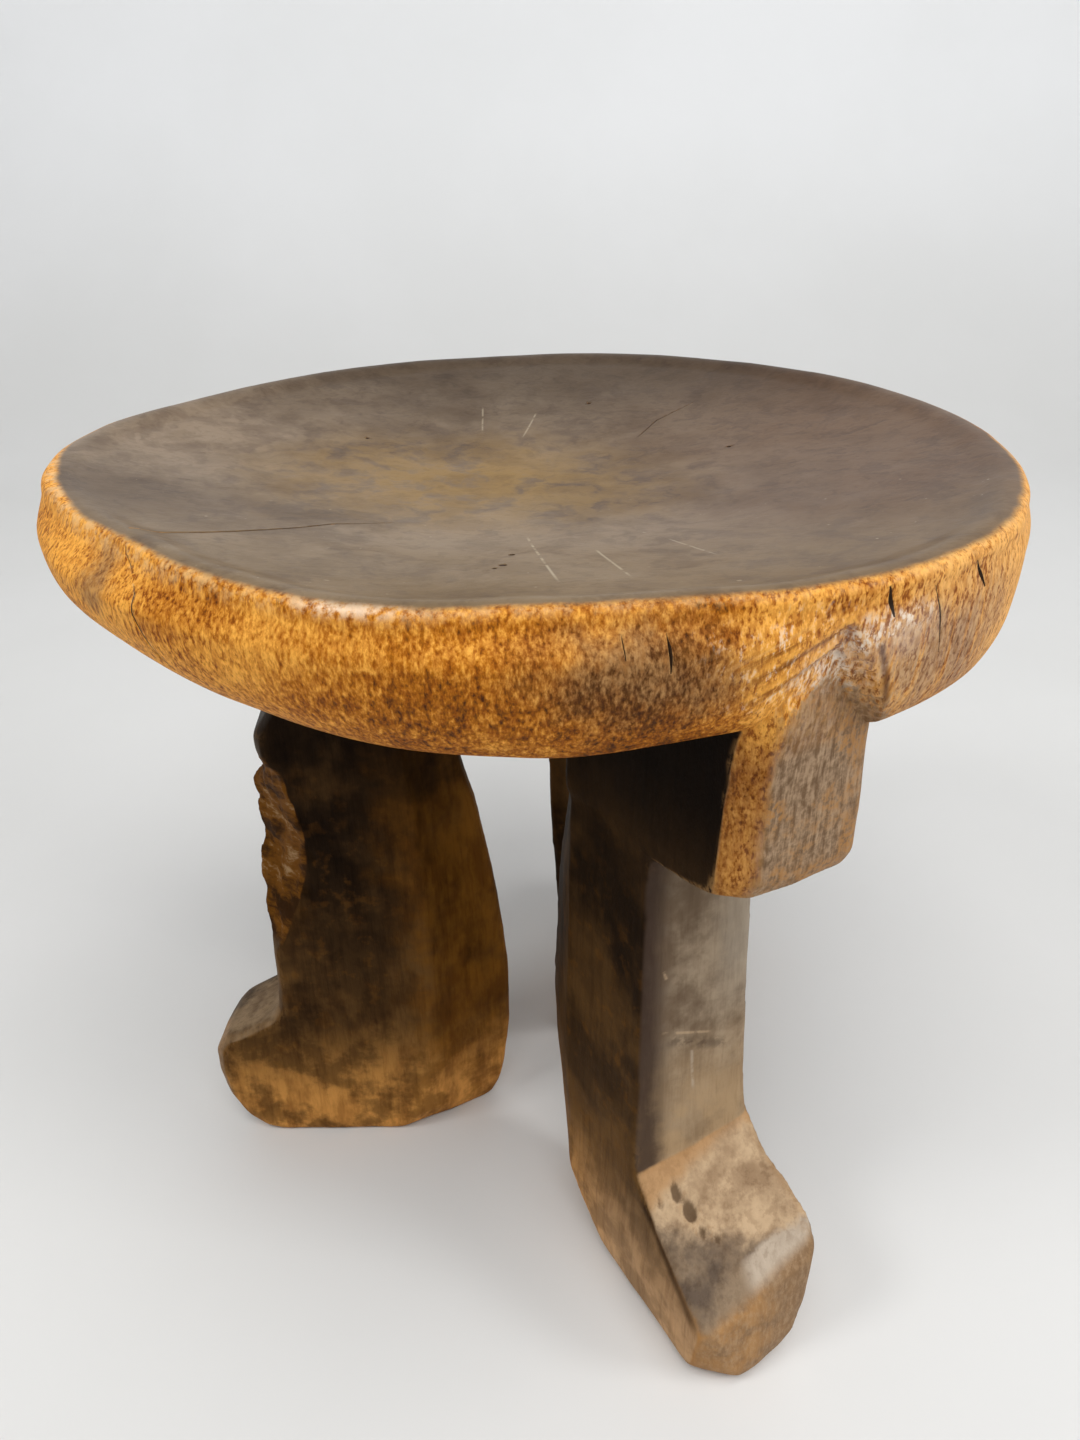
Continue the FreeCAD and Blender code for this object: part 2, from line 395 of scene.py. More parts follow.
# Seat
seat = {
    "radius": (seatHigh.x - seatLow.x) / 2 / mm,
    "columns": 560,
    "rows": 172,
    "dishRows": (0.3, 0.86),  # this share of the rows takes that share of the way to the lip
    "rimRows": (0.82, 0.04),  # this share of them ends that far along the underside
    # dish from its middle to the lip, then the wall down to the lower edge, then the underside
    "dishRadius": 150.0,
    "dishDepth": 20.0,
    "lip": [(0.0, 20.0), (0.36, 17.4), (0.72, 9.4), (0.90, 3.7), (0.983, 0.6), (1.0, 2.2)],
    "wall": [(1.0, 6.5), (1.0, 14.0), (0.99, 24.0), (0.96, 33.5), (0.918, 39.5)],
    "underside": [(0.82, 43.5), (0.5, 46.5), (0.0, 48.5)],
    # radius by angle of the worn lip and of the widest line of the wall
    "lipOutline": {
        0: 150, 20: 152, 40: 156, 62: 161, 80: 160, 96: 154, 115: 153, 135: 150, 152: 149, 170: 155,
        190: 154, 208: 147, 224: 143, 240: 147, 257: 151, 270: 147.5, 284: 148, 297: 153, 312: 155,
        330: 153},
    "wallOutline": {
        0: 151, 20: 153, 40: 156, 62: 161, 80: 160, 96: 156, 115: 155, 135: 153, 152: 151, 170: 155.5,
        190: 155.5, 208: 154, 224: 152, 240: 152, 257: 154, 270: 152.5, 284: 152, 295: 152.5, 308: 155.5,
        330: 155},
    "deepSide": 345.0,  # the rim is deepest and steepest on this side
    "deepening": 7.5,
    "steepening": 3.5,
    "thinning": {"from": -90.0, "full": -67.0, "gone": -56.0, "rise": 5.0},  # towards the front block
    # hollows over the front and rear shoulder blocks, the rear one the other way round
    "scoops": [(-60.0, 1.0), (60.0, -1.0)],
    "scoop": {
        "peak": 289.0,
        "peakSide": -4.5,
        "steepSlope": 1.75,
        "gentleSlope": 0.4,
        "soft": 2.2,
        "step": 6.0,  # lower edge of the first of its two steps
        "firstStep": 0.55,  # that step's share of the depth
        "radius": (100.0, 110.0),
        "fade": (-26.0, -14.0),
        "span": (-18.0, 14.0),
        "shallow": 2.0,
        "deep": 10.0,
    },
    # splits as (angle, depth below the rim) or plan places; width, depth and, on the rim, inset
    "rimCracks": [
        ([(-136, 0), (-134.4, 3.5), (-132, 6.5)], 0.5, 5, 5.5),
        ([(-132.6, 5.5), (-129.8, 9.5), (-128.5, 17), (-126.8, 27), (-125.6, 35)], 0.5, 4, 1),
        ([(-82.5, 4), (-82.4, 8), (-82.2, 12)], 0.6, 2.5, 1),
        ([(-78.8, 5), (-78.5, 10), (-78.4, 16)], 0.9, 2.5, 1),
        ([(-58.6, 3), (-58.2, 7), (-57.6, 11)], 1.0, 3, 1),
        ([(-46.6, 4), (-45.6, 8), (-44.6, 12)], 1.0, 3, 1),
        ([(-52.9, 6), (-51.5, 15), (-50.5, 25)], 0.45, 3, 1),
        ([(-111.8, -1), (-111.6, 1.5), (-111.4, 4)], 0.9, 3, 1),
        ([(24, 0), (25.5, 16), (25, 27)], 0.6, 4, 1),
        ([(108, -1), (107, 11), (107.8, 30)], 0.7, 5, 1),
        ([(152, 2), (152.4, 9), (153, 18)], 1.2, 3, 1),
    ],
    "rimCrackEnds": 0.3,  # share of the width and depth at a split's ends
    "topCracks": [
        ([(-103, -91), (-89, -79), (-76, -67), (-60, -48), (-44, -41)], 0.5, 5),
        ([(64, 92), (48, 77), (39, 60)], 0.4, 4),
    ],
    "topCrackEnds": 0.4,
    "wormHoles": [
        (-7.5, -91, 1.1), (-5.6, -77, 0.9), (-9.5, -95, 0.6), (71, 38, 0.9), (-64, 55, 0.8), (22, 101, 0.8)],
    "wormDepth": 7.0,
    "strokeSize": 26.0,
    "strokeDepth": 0.35,
    "waveSize": 85.0,
    "waveDepth": 0.9,
    "seed": 3.0,
    "weld": 0.01,  # points nearer than this become one
}


def onDish(x, y):
    share = math.hypot(x, y) / seat["dishRadius"]
    return Vector((x, y, seatTop - seat["dishDepth"] * (1.0 - share * share))) * mm


def outlineAt(outline, angle):
    return float(np.interp(angle % 360, [*outline, 360], [*outline.values(), outline[0]]))


# sideways from a shoulder block's middle, and how far below the gable line over it
def underGable(graph, place, angle, hand):
    form = seat["scoop"]
    side = graph.dot(place, heading(angle + 90.0 * hand)) / mm
    level = graph.split(place).output("Z") / mm
    beside = side - form["peakSide"]
    fall = (beside * form["steepSlope"]).larger(beside * -form["gentleSlope"])
    return side, form["peak"] - fall - level


# gable-shaped hollow in the wall, where a shoulder block runs up into the rim
def scoopOver(graph, place, angle, hand):
    form = seat["scoop"]
    outwards = heading(angle)
    side, below = underGable(graph, place, angle, hand)
    first = below.between(0.0, form["soft"])
    second = below.between(form["step"], form["step"] + form["soft"])
    inside = first * form["firstStep"] + second * (1.0 - form["firstStep"])
    near, far = (radius * mm for radius in form["radius"])
    inside = inside * graph.dot(place, outwards).between(near, far) * side.between(*form["fade"])
    depth = side.between(*form["span"]) * (form["deep"] - form["shallow"]) + form["shallow"]
    return graph.scaled(outwards, inside * depth * mm)


# profile swept round two outlines: the lip's on top, the wall's below it
def seatTree(profileShare, profileLength):
    lipShare, wallShare, edgeShare = profileShare
    inputs = {"Profile": "Object", "Lip Outline": "Object", "Wall Outline": "Object", "Columns": "Int",
              "Rows": "Int", "Radius": "Float", "Deep Side": "Vector", "Deepening": "Float",
              "Steepening": "Float", "Material": "Material"}
    graph, given = startTree("dishedSeat", inputs)
    sheet = {"Size X": 1.0, "Size Y": 1.0, "Vertices X": given.output("Columns"),
             "Vertices Y": given.output("Rows")}
    grid = graph.node("GeometryNodeMeshGrid", {}, sheet, "Mesh")
    parts = graph.split(graph.node("GeometryNodeInputPosition"))
    turn = parts + 0.5
    row = parts.output("Y") + 0.5
    # most rows go to the rim
    dishRows, dishPart = seat["dishRows"]
    rimRows, pastEdge = seat["rimRows"]
    spacing = [(0.0, 0.0), (dishRows, lipShare * dishPart), (rimRows, edgeShare + pastEdge), (1.0, 1.0)]
    run = graph.node("ShaderNodeFloatCurve", {"points": spacing}, {"Value": row})

    def sampled(name, factor):
        curve = graph.node("GeometryNodeObjectInfo", {}, {"Object": given.output(name)}, "Geometry")
        values = {"Curves": curve, "Factor": factor}
        return graph.node("GeometryNodeSampleCurve", {"mode": "FACTOR"}, values, "Position")

    profile = graph.split(sampled("Profile", run))
    wall = run.between(lipShare, wallShare)
    low = run.between(wallShare, edgeShare) * run.between(1.0, edgeShare)
    values = {"Factor": wall, "A": sampled("Lip Outline", turn), "B": sampled("Wall Outline", turn)}
    plan = graph.node("ShaderNodeMix", {"data_type": "VECTOR"}, values, "Result")
    outwards = graph.node("ShaderNodeVectorMath", {"operation": "NORMALIZE"}, {0: plan})
    side = graph.dot(outwards, given.output("Deep Side"))
    reach = (profile + side * given.output("Steepening") * low) / given.output("Radius")
    thin = seat["thinning"]
    flat = graph.split(outwards)
    angle = flat.math("ARCTAN2", flat.output("Y"), flat) * math.degrees(1.0)
    thinned = angle.between(thin["from"], thin["full"]) * angle.between(thin["gone"], thin["full"])
    rise = thinned * thin["rise"] * mm
    lowered = side * reach * given.output("Deepening") - rise * reach
    level = profile.output("Z") - lowered * run.between(wallShare, edgeShare)
    flat = graph.split(graph.scaled(plan, reach))
    place = graph.join(flat, flat.output("Y"), level)
    for angle, hand in seat["scoops"]:
        place = graph.vector("SUBTRACT", place, scoopOver(graph, place, angle, hand))
    # stored while the sheet is still flat, because run is read from it
    shape = storeFloat(graph, grid, "pastLip", (run - lipShare) * profileLength)
    shape = graph.node("GeometryNodeSetPosition", {}, {"Geometry": shape, "Position": place})
    shape = graph.node("GeometryNodeMergeByDistance", {}, {"Geometry": shape, "Distance": seat["weld"] * mm})
    shape = graph.node("GeometryNodeFlipFaces", {}, {"Mesh": shape})
    return endTree(graph, shape, given.output("Material"))


def profilePoints():
    rows = [*seat["lip"], *seat["wall"], *seat["underside"]]
    return [Vector((share * seat["radius"], 0.0, seatTop - drop)) * mm for share, drop in rows]


# how far along the profile the lip, the widest line and the lower edge lie, and its length
def profileShares():
    points = profilePoints()
    lengths = [(b - a).length for a, b in zip(points, points[1:])]
    lipCount = len(seat["lip"]) - 1
    wallCount = lipCount + 2  # the wall's second point is on its widest line
    edgeCount = lipCount + len(seat["wall"])
    return [sum(lengths[:n]) / sum(lengths) for n in (lipCount, wallCount, edgeCount)], sum(lengths) / mm


def outlineCurve(name, outline):
    return smoothCurve(name, [polar(angle, radius, 0.0) for angle, radius in outline.items()], True)


def seatCutters():
    bm = bmesh.new()
    up = Vector((0, 0, 1))
    outline = seat["wallOutline"]
    for stops, width, depth, inset in seat["rimCracks"]:
        places = [polar(angle, outlineAt(outline, angle) - inset, seatTop - drop) for angle, drop in stops]
        outwards = [heading(angle) for angle, drop in stops]
        wedgeCutter(bm, places, outwards, width * mm, depth * mm, seat["rimCrackEnds"])
    for stops, width, depth in seat["topCracks"]:
        places = [onDish(*stop) for stop in stops]
        wedgeCutter(bm, places, [up] * len(stops), width * mm, depth * mm, seat["topCrackEnds"])
    for x, y, radius in seat["wormHoles"]:
        boreCutter(bm, onDish(x, y), up, radius * mm, seat["wormDepth"] * mm)
    bmesh.ops.recalc_face_normals(bm, faces=bm.faces)
    return addObject("seatCuts", finishMesh(bm, "seatCuts"))


def buildSeat(material):
    guides = [smoothCurve("seatProfile", profilePoints(), False),
              outlineCurve("lipOutline", seat["lipOutline"]),
              outlineCurve("wallOutline", seat["wallOutline"])]
    made = addObject("dishedSeat", bpy.data.meshes.new("dishedSeat"))
    runTree(made, seatTree(*profileShares()), {
        "Profile": guides[0], "Lip Outline": guides[1], "Wall Outline": guides[2],
        "Columns": seat["columns"], "Rows": seat["rows"], "Radius": seat["radius"] * mm,
        "Deep Side": heading(seat["deepSide"]), "Deepening": seat["deepening"] * mm,
        "Steepening": seat["steepening"] * mm, "Material": material})
    carve(made, seat, noBreak, 0.0, seat["seed"], material)
    cutters = seatCutters()
    runTree(made, cutting, {"Cutters": cutters, "Material": material})
    for helper in (cutters, *guides):
        bpy.data.objects.remove(helper)
    made.data.materials.clear()  # the cutters bring an empty slot with them
    made.data.materials.append(material)
    print("seat cut:", len(made.data.polygons), "faces")
    return made


# Legs
# Each station is a level section of the leg, from sole to top. Its columns are height; how much higher
# the outer end and the right side are; radius of the inner edge, of the crease where the faces draw in,
# and of the outer end on the left and right; half width on the left and right; bevels of the outer end.
frontLeg = {
    "angle": -60.0,
    "stations": [
        (0, 0, 0, 72, 96, 146.5, 143, 19, 17, 14, 14),
        (2, 0, 0, 64, 90, 149.5, 146.5, 20.5, 18.5, 13, 12),
        (6, 0, 0, 53, 82, 151, 149.5, 22, 20, 12, 10),
        (13, 0, 2, 43, 76, 150.5, 151, 22.5, 21, 10, 7),
        (24, 0, 5, 32, 68, 149, 151, 23, 21.5, 7, 4),
        (40.5, 0, 12.5, 23, 61.5, 147, 151, 23.5, 22, 3, 3),
        (48.5, 0, 13, 20.5, 60, 140.5, 145.5, 23, 22, 2, 2),
        (55, 0, 12, 19, 59, 129, 133, 22.5, 22, 2, 2),
        (60, 0, 9.5, 18, 59, 117, 121, 22, 22, 2, 2),
        (72, 0, 6.5, 17, 58, 103.5, 109.5, 22, 22, 2, 2),
        (84, 0, 4, 16, 57, 103, 108, 22, 21.5, 2, 2),
        (140, 0, 0, 21, 57, 102.5, 105.5, 21.5, 20.5, 2, 2),
        (187, 0, 0, 29.5, 57, 101.5, 103.5, 21, 20, 2, 2),
        (196, 3, 0, 31, 58, 103.5, 105, 21, 20, 2, 2),
        (199, 4, 0, 32, 58, 125, 125, 22, 20, 4, 2),
        (201, 6, 0, 33, 58, 140, 140, 23, 20, 7, 3),
        (206, 7, 0, 34, 59, 143, 143, 24, 20, 8, 3),
        (226, 7, 0, 37, 60, 144, 143, 24, 20, 8, 3),
        (246, 7, -1, 40, 61, 146, 142.5, 24, 20.5, 7, 3),
        (251, 12, -3, 42, 62, 148, 143, 24, 20.5, 6, 3),
        (255, 15, -5, 44, 63, 147.5, 142, 23, 20, 6, 4),
        (259, 18, -6, 45, 64, 141, 137, 22, 18, 6, 5),
    ],
    "gable": 4.0,
    "pits": [(113, -11.5, 2.2), (119, -9.5, 2.7), (126, -9, 1.8), (130, -6, 1.5), (112.5, -17.5, 1.4)],
    "broken": noBreak,
    "seed": 11.0,
}
leftLeg = {
    "angle": 180.0,
    "stations": [
        (0, 0, 0, 27, 64, 122, 121, 20.5, 22, 6, 7),
        (3, 0, 0, 23.5, 60, 128, 127, 21, 23, 6, 6),
        (10, 0, 0, 20.5, 55, 133, 132.5, 21.5, 23.5, 5, 5),
        (21, 0, 0, 18, 52, 137.5, 137, 22, 23.5, 5, 4),
        (35, 0, 0, 16, 48, 140, 139.5, 22, 23.5, 4, 4),
        (43, 0, 3, 15, 46, 138.5, 139, 22, 23, 5, 4),
        (49, 0, 4, 15, 46, 134, 134, 22, 22.5, 5, 3),
        (54, 0, 4, 15, 45, 125, 124, 22, 22, 4, 3),
        (59, 0, 4, 15, 45, 115, 114, 22, 22, 3, 3),
        (66, 0, 3, 15, 45, 110, 109.5, 22, 22, 3, 3),
        (78, 0, 0, 15, 44, 109.5, 108.5, 21.5, 22, 3, 3),
        (98, 0, 0, 16.5, 44, 109, 108, 21.5, 22, 3, 2),
        (112, 0, 0, 18, 45, 108.5, 110, 21.5, 22, 3, 10.5),
        (126, 0, 0, 20, 45, 108, 111.5, 21.5, 22, 4, 17.5),
        (142, 0, 0, 23, 46, 107.5, 111.5, 21.5, 22, 5, 22),
        (158, 0, 0, 26, 46, 107, 110.5, 21.5, 22, 5, 22),
        (170, 0, 0, 29, 47, 106.5, 109, 21.5, 22, 5, 17),
        (176, 0, 0, 30.5, 47.5, 105, 104.5, 21.5, 22, 5, 11),
        (182, 0, 0, 31.5, 48.5, 102, 99, 21.5, 22, 5, 6),
        (188, 0, 0, 32.5, 49, 104, 103, 21.5, 22, 5, 4),
        (197, 0, 0, 35, 50.5, 104, 103.5, 21.5, 22, 5, 4),
        (205, 0, 0, 37, 52, 102, 98, 21.5, 22, 5, 4),
        (212, 0, 0, 39, 53.5, 101, 94, 21.5, 22, 5, 4),
        (262, 0, 0, 47, 60, 99, 91, 20, 20, 5, 4),
    ],
    "gable": 0.0,
    "pits": [],
    "broken": {"place": (104, 12, 148), "size": (20, 32, 50), "depth": 2.6},
    "seed": 23.0,
}
rearLeg = {
    "angle": 60.0,
    "stations": [
        (0, 0, 0, 60, 76, 137, 134, 14, 15, 5, 6),
        (5, 0, 0, 45, 68, 144, 140, 18, 20, 4, 5),
        (22, 0, -2, 28, 60, 147, 145, 21, 22, 3, 4),
        (45, 0, -5, 22, 57, 149, 147, 22, 22, 3, 3),
        (52, 0, -6, 18, 57, 144, 142, 22, 22, 2, 2),
        (57, 0, -6, 17, 56, 131, 130, 22, 22, 2, 2),
        (61, 0, -5, 16.5, 56, 119, 118, 22, 22, 2, 2),
        (73, 0, -4, 21, 56, 108.5, 106, 21.5, 21.5, 2, 2),
        (86, 0, -2, 20.5, 56, 107.5, 105, 21.5, 21.5, 2, 2),
        (140, 0, 0, 14, 56, 105, 103.5, 21, 21, 2, 2),
        (187, 0, 0, 13, 57, 103, 102.5, 20.5, 21, 2, 2),
        (196, 3, 0, 14, 58, 104, 104, 20, 21, 2, 2),
        (199, 4, 0, 15, 58, 126, 126, 20, 21, 3, 4),
        (201, 6, 0, 16, 58, 140, 141, 20, 21, 4, 8),
        (206, 8, 0, 18, 59, 144, 145, 20, 21, 4, 9),
        (226, 7, 0, 24, 60, 145, 145, 20, 21, 4, 8),
        (250, 10, 0, 34, 62, 149, 150, 20, 21, 4, 8),
        (258, 14, 0, 38, 63, 152, 153, 20.5, 21, 4, 8),
        (262, 20, 0, 45, 64, 149, 149, 19, 20, 6, 8),
    ],
    "gable": 5.0,
    "pits": [(121, 6, 2.4), (131, -8, 2.0)],
    "broken": noBreak,
    "seed": 37.0,
}
legs = {"front_leg": frontLeg, "left_leg": leftLeg, "rear_leg": rearLeg}
legForm = {
    "innerEdge": 3.5,  # half width of the narrow inner edge
    "crown": 0.8,  # outer faces are a little full in the middle
    "gableFrom": 14.0,  # sections whose outer end rises this much have the gable
    "voxel": 1.25,
    "smoothing": 10,
    "strokeSize": 17.0,
    "strokeDepth": 0.55,
    "waveSize": 55.0,
    "waveDepth": 0.8,
    "pitStretch": 1.5,
    "pitDepth": 0.9,
    "pitFacing": 0.3,  # pits lie where the wood faces up by more than this
    "pitBelow": 100.0,
}


# one section as points in the leg's own frame: outwards, sideways, up
def legSection(station, gable):
    height, rise, tilt, inner, crease, outerLeft, outerRight, left, right, bevelLeft, bevelRight = station
    nose = legForm["innerEdge"]
    middle = (outerLeft + outerRight) / 2 + legForm["crown"]
    corners = [
        (inner, -nose), (crease, -left), (outerLeft - bevelLeft, -left), (outerLeft, bevelLeft - left),
        (middle, (right - left) / 2),
        (outerRight, right - bevelRight), (outerRight - bevelRight, right), (crease, right), (inner, nose)]
    points = []
    outerEnd = range(2, 7)
    endMiddle = 4
    for k, (reach, side) in enumerate(corners):
        level = height + tilt * side / ((left + right) / 2)
        if k in outerEnd:
            level += rise
        if k == endMiddle and rise >= legForm["gableFrom"]:
            level += gable
        points.append(Vector((reach, side, max(level, 0.0))) * mm)
    return points


def legMesh(name):
    leg = legs[name]
    turn = Matrix.Rotation(math.radians(leg["angle"]), 4, "Z")
    bm = bmesh.new()
    sections = [legSection(station, leg["gable"]) for station in leg["stations"]]
    bridgeRings(bm, [[bm.verts.new(turn @ point) for point in section] for section in sections])
    bmesh.ops.triangulate(bm, faces=bm.faces)
    bmesh.ops.recalc_face_normals(bm, faces=bm.faces)
    return finishMesh(bm, name)


# where each point lies on its leg and which way it faces there, for the finish
def markLegPlaces(piece, angle):
    mesh = piece.data
    turn = math.radians(angle)
    cos, sin = math.cos(turn), math.sin(turn)
    unturn = np.array([[cos, sin, 0], [-sin, cos, 0], [0, 0, 1]])
    sources = {"legPlace": (mesh.vertices, "co"), "legFacing": (mesh.vertex_normals, "vector")}
    for name, (source, key) in sources.items():
        flat = np.zeros(len(mesh.vertices) * 3, np.float32)
        source.foreach_get(key, flat)
        layer = mesh.attributes.new(name, "FLOAT_VECTOR", "POINT")
        layer.data.foreach_set("vector", (flat.reshape(-1, 3) @ unturn.T).astype(np.float32).ravel())


# soft hollows let into the top of the foot
def pressPits(piece, pits):
    mesh = piece.data
    count = len(mesh.vertices)
    places, legPlaces, legFacing = (np.zeros(count * 3, np.float32) for _ in range(3))
    mesh.vertices.foreach_get("co", places)
    mesh.attributes["legPlace"].data.foreach_get("vector", legPlaces)
    mesh.attributes["legFacing"].data.foreach_get("vector", legFacing)
    own = legPlaces.reshape(-1, 3) / mm
    press = np.zeros(count, np.float32)
    for reach, side, radius in pits:
        away = np.hypot((own[:, 0] - reach) / legForm["pitStretch"], own[:, 1] - side) / radius
        press = np.maximum(press, np.clip(1.0 - away * away, 0.0, 1.0) * radius)
    faceUp = legFacing.reshape(-1, 3)[:, 2] > legForm["pitFacing"]
    press *= faceUp & (own[:, 2] < legForm["pitBelow"])
    places[2::3] -= press * legForm["pitDepth"] * mm
    mesh.vertices.foreach_set("co", places)
    mesh.attributes.new("pit", "FLOAT", "POINT").data.foreach_set("value", press)


def buildLeg(name, material):
    leg = legs[name]
    made = addObject(name.replace("_", ""), legMesh(name))
    remesh = made.modifiers.new("voxels", "REMESH")
    remesh.mode = "VOXEL"
    remesh.voxel_size = legForm["voxel"] * mm
    smooth = made.modifiers.new("wornArrises", "SMOOTH")
    smooth.iterations = legForm["smoothing"]
    applyModifiers(made)
    markLegPlaces(made, leg["angle"])
    pressPits(made, leg["pits"])
    carve(made, legForm, leg["broken"], leg["angle"], leg["seed"], material)
    return made


# Finishes
seatColours = {
    "topGrey": (0.252, 0.183, 0.121),
    "topDark": (0.112, 0.070, 0.039),
    "topBack": (0.043, 0.025, 0.012),
    "topFront": (0.196, 0.127, 0.056),
    "topRed": (0.100, 0.045, 0.019),
    "topOlive": (0.246, 0.140, 0.032),
    "scratch": (0.480, 0.400, 0.280),
    "rimOrange": (0.480, 0.152, 0.006),
    "rimPale": (0.960, 0.455, 0.075),
    "rimTan": (0.950, 0.500, 0.140),
    "rimDark": (0.085, 0.025, 0.003),
    "rimBurnt": (0.350, 0.195, 0.085),
    "rimBurntDark": (0.065, 0.026, 0.006),
    "rimPaintedGlint": (0.950, 0.800, 0.640),
    "rimGrey": (0.450, 0.300, 0.188),
    "lipTan": (0.860, 0.500, 0.180),
    "underside": (0.090, 0.045, 0.018),
    "crackDark": (0.040, 0.020, 0.009),
    # pale scratches on the dish, as plan places and strength
    "scratches": [
        ((-1.8, -52), (7.1, -115), 0.7), ((17.6, -71), (24.6, -111), 0.6), ((-22, 96), (-21, 69), 0.4),
        ((0, 91), (-5.3, 64), 0.45), ((38.8, -60), (49.5, -87), 0.4)],
    "scratchWidth": 0.55,
    # block wood in the rim, a pointed arch: heights, and places sideways from the block's middle
    "arch": {"peak": 276.0, "peakSide": -4.0, "slope": 0.78, "ragged": 20.0, "soft": 4.0,
             "left": (-19, -14), "right": (19, 15)},
}
legColours = {
    "dark": (0.019, 0.009, 0.003),
    "brown": (0.150, 0.073, 0.021),
    "orange": (0.225, 0.088, 0.010),
    "grey": (0.370, 0.280, 0.190),
    "border": (0.055, 0.033, 0.024),
    "waistDark": (0.165, 0.112, 0.070),
    "waistPaintedSheen": (0.400, 0.330, 0.250),
    "tanDark": (0.430, 0.290, 0.160),
    "lowBrown": (0.740, 0.345, 0.085),
    "lowGrey": (0.600, 0.360, 0.180),
    "block": (0.175, 0.104, 0.056),
    "blockPale": (0.430, 0.292, 0.180),
    "blockOrange": (0.420, 0.200, 0.060),
    "tan": (0.580, 0.410, 0.250),
    "footBrown": (0.250, 0.150, 0.080),
    "toeOrange": (0.410, 0.220, 0.088),
    "footGrey": (0.115, 0.082, 0.060),
    "pale": (0.520, 0.420, 0.320),
    "worn": (0.340, 0.180, 0.065),
    "rawWood": (0.165, 0.062, 0.008),
    "rawDark": (0.038, 0.016, 0.005),
    "rawPale": (0.370, 0.235, 0.115),
    "pit": (0.110, 0.065, 0.034),
    # lines on the front waist as (sideways, up) places, with width and shade
    "marks": [
        ((-2.6, 118), (-1, 97), 0.9, "pale"), ((-12, 124), (14, 113), 4.0, "border"),
        ((-14, 128), (6, 121.5), 0.9, "tan"), ((-14, 154), (-13, 150), 1.0, "tan")],
}


def startMaterial(name):
    material = bpy.data.materials.new(name)
    material.use_nodes = True
    material.node_tree.nodes.clear()
    return material, Graph(material.node_tree)


def endMaterial(graph, colour, roughness, height, bumpDepth, gloss, polish=0.0):
    bump = graph.node("ShaderNodeBump", {}, {"Strength": 1.0, "Distance": bumpDepth * mm, "Height": height})
    values = {"Base Color": colour, "Roughness": roughness, "Normal": bump, "Coat Weight": polish,
              "Coat Roughness": 0.18, "Specular IOR Level": gloss}
    shader = graph.node("ShaderNodeBsdfPrincipled", {}, values)
    graph.node("ShaderNodeOutputMaterial", {}, {"Surface": shader})


# thin line between two places of a flat plane, broken up by noise
def scratchMask(graph, flat, start, end, width, breakUp):
    start = Vector((*start, 0)) * mm
    end = Vector((*end, 0)) * mm
    run = end - start
    away = graph.vector("SUBTRACT", flat, start)
    along = graph.dot(away, run / run.length_squared)
    inside = along.between(-0.02, 0.1) * along.between(1.02, 0.8)
    across = graph.dot(away, Vector((-run.y, run.x, 0)).normalized())
    return inside * abs(across).between(width * mm, 0.1 * mm) * breakUp


# finely scratched grey-brown wood of a shoulder block's face
def blockFace(graph, place):
    look = legColours
    fibre = graph.fibres(place, 0.13, 900.0, 3.0, 0.6, 41.0)
    dust = graph.noise(place, 420.0, 4.0, 0.7, 42.0)
    patch = graph.noise(place, 55.0, 4.0, 0.6, 43.0)
    face = graph.mix((fibre * 0.5 + dust * 0.5).between(0.39, 0.62), look["block"], look["blockPale"])
    return face.lay(patch.between(0.48, 0.62) * dust.between(0.42, 0.58) * 0.85, look["blockOrange"])


